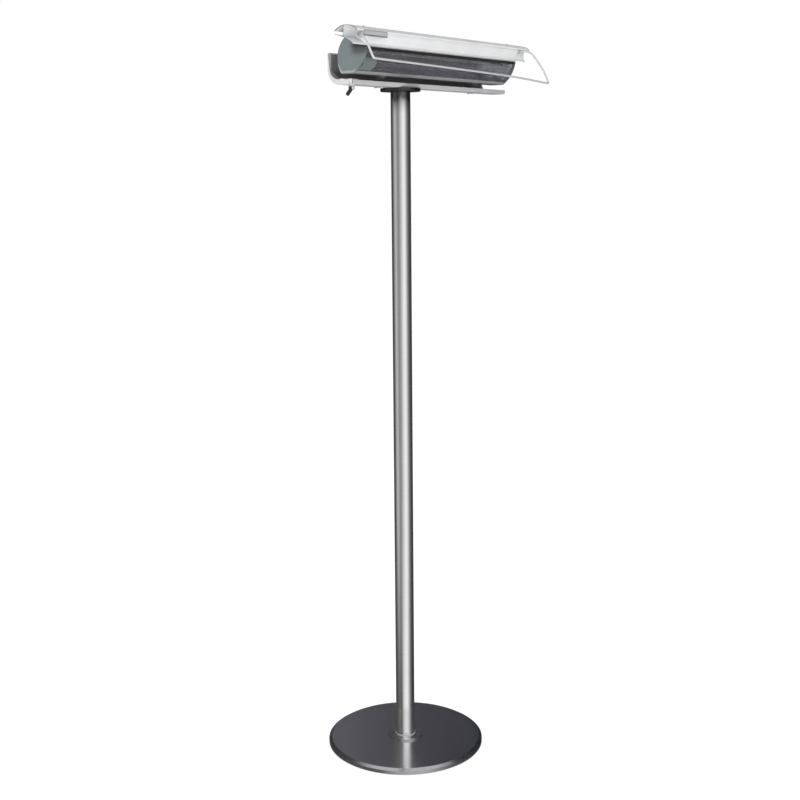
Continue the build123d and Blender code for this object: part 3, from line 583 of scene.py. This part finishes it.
def wire_piece(name, radius, body, slot, path=None, rings=(), smooth=False):
    """Round wire along an open path and round closed rings, as one mesh; a smooth path is a NURBS curve."""
    data = bpy.data.curves.new(name, "CURVE")
    data.dimensions = "3D"
    data.bevel_depth = radius
    data.bevel_resolution = CURVE_SIDES if smooth else PLAIN_SIDES
    data.use_fill_caps = True
    lines = [(path, False)] if path else []
    lines += [(loop, True) for loop in rings]
    for points, closed in lines:
        spline = data.splines.new("NURBS" if smooth and not closed else "POLY")
        spline.points.add(len(points) - 1)
        for mark, point in zip(spline.points, points):
            mark.co = (*point, 1)
        spline.use_cyclic_u = closed
        spline.order_u = CURVE_ORDER
        spline.use_endpoint_u = True
        spline.resolution_u = CURVE_STEPS
    draft = bpy.data.objects.new(name, data)
    mesh = bpy.data.meshes.new_from_object(draft)
    bpy.data.objects.remove(draft)
    mesh.name = name
    mesh.materials.clear()
    return dress(linked(name, mesh), body, slot)


def mesh_piece(name, bm, body, slot, look=None):
    """A bmesh as an object with smooth shading and outward normals."""
    bmesh.ops.recalc_face_normals(bm, faces=bm.faces)
    mesh = bpy.data.meshes.new(name)
    bm.to_mesh(mesh)
    bm.free()
    piece = linked(name, mesh)
    edges = piece.modifiers.new("edges", "WEIGHTED_NORMAL")
    edges.keep_sharp = True
    return dress(piece, body, slot, look)


def cuboid(spans):
    """A bmesh box over a tuple of three (low, high) spans."""
    bm = bmesh.new()
    bmesh.ops.create_cube(bm, size=1.0)
    for vertex in bm.verts:
        for axis, (start, end) in enumerate(spans):
            vertex.co[axis] = end if vertex.co[axis] > 0 else start
    return bm


EDGE_SHARE = 0.25
EDGE_STEPS = 2


def sheet_block(spans, thickness):
    """A cuboid of sheet, with its edges rounded by a share of its thickness."""
    bm = cuboid(spans)
    edges = bm.edges[:]
    bmesh.ops.bevel(bm, geom=edges, offset=thickness * EDGE_SHARE, segments=EDGE_STEPS, affect="EDGES")
    return bm


def middle(node):
    """The centre of a node's box."""
    low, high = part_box(node)
    return (Vector(low) + Vector(high)) / 2


def ring(x, centre, radius, steps):
    """Points of a circle across the head, at x and round a centre's y and z."""
    turns = [FULL_TURN * step / steps for step in range(steps)]
    return [(x, centre.y + radius * math.cos(turn), centre.z + radius * math.sin(turn)) for turn in turns]


def surface_of(node):
    """A CAD node's mesh as a tree for ray casts."""
    mesh = frame["nodes"][node].data
    faces = [tuple(face.vertices) for face in mesh.polygons]
    return BVHTree.FromPolygons([vertex.co for vertex in mesh.vertices], faces)


COIL_RADIUS = 1.1 * MM
COIL_PITCH = 3.2 * MM
COIL_STEPS = 8
FILAMENT_WIRE = 0.35 * MM
RING_RADIUS = 4.0 * MM
RING_SPACING = 62 * MM
RING_STEPS = 20


def make_filament():
    """The coiled filament of the lamp, and the wire rings that keep it off the quartz."""
    low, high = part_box("lamp_filament")
    axis = middle("lamp_filament")
    length = high[0] - low[0]
    steps = int(length / COIL_PITCH) * COIL_STEPS
    points = []
    for step in range(steps + 1):
        turn = FULL_TURN * step / COIL_STEPS
        y, z = axis.y + COIL_RADIUS * math.cos(turn), axis.z + COIL_RADIUS * math.sin(turn)
        points.append((low[0] + length * step / steps, y, z))
    coil = wire_piece("filament_coil", FILAMENT_WIRE, "head", "dark_steel", path=points)
    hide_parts("lamp_filament")
    count = int(length / RING_SPACING)
    places = [low[0] + length * number / count for number in range(1, count)]
    rings = [ring(x, axis, RING_RADIUS, RING_STEPS) for x in places]
    wire_piece("filament_rings", FILAMENT_WIRE, "head", "dark_steel", rings=rings)


WELD_WIRE = 1.8 * MM
WELD_RIPPLES = 90
WELD_STEPS = 360
# Shares of the bead's radius.
WELD_SWELL = 0.3
WELD_OUT = 0.4
WELD_RISE = 0.3


def make_weld():
    """The rippled weld bead round the foot of the post."""
    low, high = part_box("post_tube")
    radius = (high[0] - low[0]) / 2
    above = Vector((radius + 2 * WELD_WIRE, 0, high[2] / 4))
    height = surface_of("base_flange").ray_cast(above, -UP)[0].z + WELD_RISE * WELD_WIRE
    loop = []
    for step in range(WELD_STEPS):
        turn = FULL_TURN * step / WELD_STEPS
        ripple = WELD_SWELL * WELD_WIRE * math.sin(WELD_RIPPLES * turn)
        reach = radius + ripple + WELD_OUT * WELD_WIRE
        loop.append((reach * math.cos(turn), reach * math.sin(turn), height))
    wire_piece("foot_weld", WELD_WIRE, "tower", "post_steel", rings=[loop])


def strip_piece(name, rows, body, slot, look=None):
    """A thin sheet across the head through rows of (left x, right x, outer point, inner point)."""
    bm = bmesh.new()
    corners = []
    for left, right, outer, inner in rows:
        places = [(x, point.y, point.z) for x in (left, right) for point in (outer, inner)]
        corners.append([bm.verts.new(place) for place in places])
    for a, b in zip(corners, corners[1:]):
        bm.faces.new((a[0], b[0], b[2], a[2]))
        bm.faces.new((a[1], a[3], b[3], b[1]))
        bm.faces.new((a[0], a[1], b[1], b[0]))
        bm.faces.new((a[2], b[2], b[3], a[3]))
    for row in (corners[0], corners[-1]):
        bm.faces.new((row[0], row[2], row[3], row[1]))
    return mesh_piece(name, bm, body, slot, look)


def along(table, share):
    """A value between the (share, value) stops of a table."""
    for (a, low), (b, high) in zip(table, table[1:]):
        if share <= b:
            return low + (high - low) * (share - a) / (b - a)
    return table[-1][1]


def section_hits(node, eye, sweep):
    """Where a fan of rays across a node's middle meets the node: (share of the sweep, ray, hit)."""
    low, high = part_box(node)
    tree = surface_of(node)
    origin = Vector(((low[0] + high[0]) / 2, low[1] + eye[0], low[2] + eye[1]))
    start, end, steps = sweep
    hits = []
    for step in range(steps + 1):
        angle = math.radians(start + (end - start) * step / steps)
        ray = Vector((0, math.cos(angle), math.sin(angle)))
        hit = tree.ray_cast(origin, ray)[0]
        if hit:
            hits.append((step / steps, ray, hit))
    return hits


# Each eye that rays start from: how far behind and above the node's foremost and lowest edges it is.
# Each sweep of rays: start and end in degrees from +Y toward +Z, and steps.
# Each table of widths: share of the sweep, and millimetres.
TRAY_EYE = (32 * MM, 33 * MM)
# The sweep, thickness and ends of the dark sheet of painted shade in the tray.
SHADE_SHEET_SWEEP = (-100, 43, 36)
SHADE_SHEET_THICKNESS = 0.4 * MM
SHADE_SHEET_LEFT = 44 * MM
SHADE_SHEET_APRON = 13 * MM
SHADE_SHEET_RIGHT = 9 * MM
APRON_FROM = 0.62
APRON_TO = 0.76


def make_tray_shade_sheet():
    """A dark sheet painted as the shade behind and below the heater body, longer where it lines the tray's
    wall.
    """
    low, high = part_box("tray")
    right = high[0] - SHADE_SHEET_RIGHT
    rows = []
    for share, ray, hit in section_hits("tray", TRAY_EYE, SHADE_SHEET_SWEEP):
        reach = min(max((share - APRON_FROM) / (APRON_TO - APRON_FROM), 0), 1)
        left = low[0] + SHADE_SHEET_LEFT + (SHADE_SHEET_APRON - SHADE_SHEET_LEFT) * reach
        rows.append((left, right, hit - ray * SHADE_SHEET_THICKNESS, hit - ray * 2 * SHADE_SHEET_THICKNESS))
    strip_piece("tray_shade_sheet", rows, "tower", "dark_steel", "shield_paint")


HEM_SWEEP = (-118, 34, 44)
HEM_SHEET = 1.2 * MM
HEM_INSET = 0.3 * MM
HEM_WIDTHS = ((0.0, 12), (0.30, 15), (0.45, 20), (0.62, 12), (0.80, 5), (1.0, 3))


def make_tray_hem():
    """The folded hem that stiffens the tray's left end: wide round the heel, narrow up the wall."""
    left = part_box("tray")[0][0] + HEM_INSET
    rows = []
    for share, ray, hit in section_hits("tray", TRAY_EYE, HEM_SWEEP):
        rows.append((left, left + HEM_SHEET, hit, hit - ray * along(HEM_WIDTHS, share) * MM))
    strip_piece("tray_hem", rows, "tower", "tray_steel")


RIM_EYE = (61.5 * MM, 39.5 * MM)
RIM_SWEEP = (-122, -12, 40)
RIM_SHEET = 0.6 * MM
RIM_WIDTHS = ((0.0, 6), (0.62, 8), (1.0, 2))


def make_cap_rim():
    """The bare steel edge of the casing, folded over the end cap's lower edge and heel."""
    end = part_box("end_cap_left")[0][0]
    rows = []
    for share, ray, hit in section_hits("end_cap_left", RIM_EYE, RIM_SWEEP):
        outer, inner = hit - ray * HEM_INSET, hit - ray * along(RIM_WIDTHS, share) * MM
        rows.append((end - RIM_SHEET, end + RIM_SHEET / 2, outer, inner))
    strip_piece("cap_rim", rows, "head", "tray_steel", "rim_steel")


PLATE_BORDER = 2.4 * MM
PLATE_STEP = 0.25 * MM
PLATE_CORNER = 1.5 * MM
PLATE_CORNER_STEPS = 4


def make_nameplate():
    """The bare plate on the hood: a rolled rim round a sunken panel."""
    bm = cuboid(tuple(zip(*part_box("nameplate"))))
    deep = [edge for edge in bm.edges if abs(edge.verts[0].co.y - edge.verts[1].co.y) > PLATE_STEP]
    bmesh.ops.bevel(bm, geom=deep, offset=PLATE_CORNER, segments=PLATE_CORNER_STEPS, affect="EDGES")
    front = min(bm.faces, key=lambda face: face.calc_center_median().y)
    for inset, depth in ((PLATE_BORDER, 0), (PLATE_STEP, -PLATE_STEP)):
        for face in bmesh.ops.inset_region(bm, faces=[front], thickness=inset, depth=depth)["faces"]:
            face.material_index = 1
    plate = mesh_piece("nameplate_panel", bm, "head", "plate_metal")
    plate.data.materials.append(finish["plate_edge"])
    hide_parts("nameplate")


# A black strip put where shade falls behind the trough's upper edge.
SHADE_STRIP_DEPTH = 2.5 * MM
SHADE_STRIP_HEIGHT = 9 * MM
# The shade strip's face behind the casing's foremost edge, and its top above the casing's foot.
SHADE_STRIP_INSET = 0.3 * MM
SHADE_STRIP_TOP = 73 * MM


def make_mouth_shade_strip():
    """A black strip painted as the shade that hangs behind the upper edge of the trough's mouth."""
    start, end = (corner[0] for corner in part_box("reflector"))
    _, front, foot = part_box("body_shell")[0]
    front, top = front + SHADE_STRIP_INSET, foot + SHADE_STRIP_TOP
    spans = (
        (start + SHADE_STRIP_DEPTH, end - SHADE_STRIP_DEPTH),
        (front, front + SHADE_STRIP_DEPTH),
        (top - SHADE_STRIP_HEIGHT, top),
    )
    mesh_piece("mouth_shade_strip", sheet_block(spans, SHADE_STRIP_DEPTH), "head", "black_plastic")


# The webs' faces behind the hood's foremost edge.
WEB_LEFT_PLACE = 48 * MM
WEB_RIGHT_PLACE = 20 * MM
WEB_SHEET = 1.2 * MM
WEB_END = 2.5 * MM
WEB_START = 1.5 * MM
WEB_BITE = 0.4 * MM


def make_hood_webs():
    """The upright stiffeners that close the gap between hood and visor beyond the brackets."""
    hood, visor = surface_of("hood"), surface_of("hood_visor")
    hood_low, hood_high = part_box("hood")
    body_low, body_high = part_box("body_shell")
    between = (hood_low[2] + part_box("hood_visor")[1][2]) / 2
    for name, start, end, depth in (
        ("hood_web_left", hood_low[0] + WEB_END, body_low[0] - WEB_START, WEB_LEFT_PLACE),
        ("hood_web_right", body_high[0] + WEB_START, hood_high[0] - WEB_END, WEB_RIGHT_PLACE),
    ):
        place = hood_low[1] + depth
        inside = Vector(((start + end) / 2, place, between))
        top = hood.ray_cast(inside, UP)[0]
        foot = visor.ray_cast(inside, -UP)[0]
        spans = ((start, end), (place, place + WEB_SHEET), (foot.z - WEB_BITE, top.z + WEB_BITE))
        mesh_piece(name, sheet_block(spans, WEB_SHEET), "head", "hood_white")


COLLAR_REACH = 5.2 * MM
END_FACE = 0.1 * MM


def make_cover_collar():
    """The joint between the terminal cover and the end cap, drawn on from the cover's end face."""
    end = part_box("terminal_cover")[0][0] + END_FACE
    bm = bmesh.new()
    bm.from_mesh(frame["nodes"]["terminal_cover"].data)
    inner = [face for face in bm.faces if any(vertex.co.x > end for vertex in face.verts)]
    bmesh.ops.delete(bm, geom=inner, context="FACES")
    sheet = bmesh.ops.extrude_face_region(bm, geom=bm.faces[:])
    for item in sheet["geom"]:
        if isinstance(item, bmesh.types.BMVert):
            item.co.x -= COLLAR_REACH
    mesh_piece("cover_collar", bm, "head", "cap_paint")


# The wire's bends, the last one at the rod's corner, as (outward, forward, upward)
# from the middle of its eye, in millimetres.
ARM_LEFT = (
    (0, 8, 0),
    (0, 17, 1),
    (34, 34, -1),
    (60, 57, -13),
    (69, 77, -30),
    (70.5, 92, -57),
    (70.5, 101, -75),
)
ARM_RIGHT = (
    (0, 8, 0),
    (0, 17, 2),
    (27, 31, 3),
    (56, 43, -1),
    (70, 62, -33),
    (70, 85, -64),
    (71, 98, -94),
    (71, 102, -104),
)
CORNER_RUN = 12 * MM
ROD_BEND_SHARE = 0.74
ROD_BEND_RISE = 6.5 * MM
WIRE_RADIUS = 3 * MM
EYE_RADIUS = 6 * MM
EYE_STEPS = 28


def make_guard():
    """The guard wire as one springy curve, with a bent eye round each bolt."""
    bolts = middle("guard_bolts")
    wash_low, wash_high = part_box("guard_washers")
    eyes = (wash_low[0] - WIRE_RADIUS, wash_high[0] + WIRE_RADIUS)
    arms = []
    for side, x, bends in ((-1, eyes[0], ARM_LEFT), (1, eyes[1], ARM_RIGHT)):
        eye = Vector((x, bolts.y, bolts.z))
        arms.append([eye + Vector((side * out, -ahead, up)) * MM for out, ahead, up in bends])
    left, right = arms
    run = (right[-1] - left[-1]).normalized() * CORNER_RUN
    bend = left[-1].lerp(right[-1], ROD_BEND_SHARE) + UP * ROD_BEND_RISE
    path = [*left, left[-1] + run, bend, right[-1] - run, *reversed(right)]
    rings = [ring(x, bolts, EYE_RADIUS, EYE_STEPS) for x in eyes]
    wire = wire_piece("guard_curve", WIRE_RADIUS, "head", "guard_steel", path=path, rings=rings, smooth=True)
    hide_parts("guard_wire")


make_filament()
make_guard()
make_hood_webs()
make_cover_collar()
make_mouth_shade_strip()
make_weld()
make_tray_shade_sheet()
make_tray_hem()
make_cap_rim()
make_nameplate()

# --- finishes of the CAD nodes --------------------------------------------------
# Nodes with a look of their own; the others wear their slot's.
LOOKS = {
    # The body shell wears a darker copy of the tray's steel, as painted shade.
    "body_shell": "body_steel",
    # The left end cap wears its paint with painted shade under the visor.
    "end_cap_left": "cap_left_paint",
    # The hinge brackets and lugs wear the painted-shade grey, as shade in the gap under the body.
    "hinge_brackets": "shield_paint",
    "hinge_lugs": "shield_paint",
}
slot_of = {part["node"]: part["material_slot"] for part in frame["record"]["subparts"]}
for name, node in frame["nodes"].items():
    material = finish[LOOKS.get(name, slot_of[name])]
    for slot in node.material_slots:
        slot.material = material
    if not node.material_slots:
        node.data.materials.append(material)
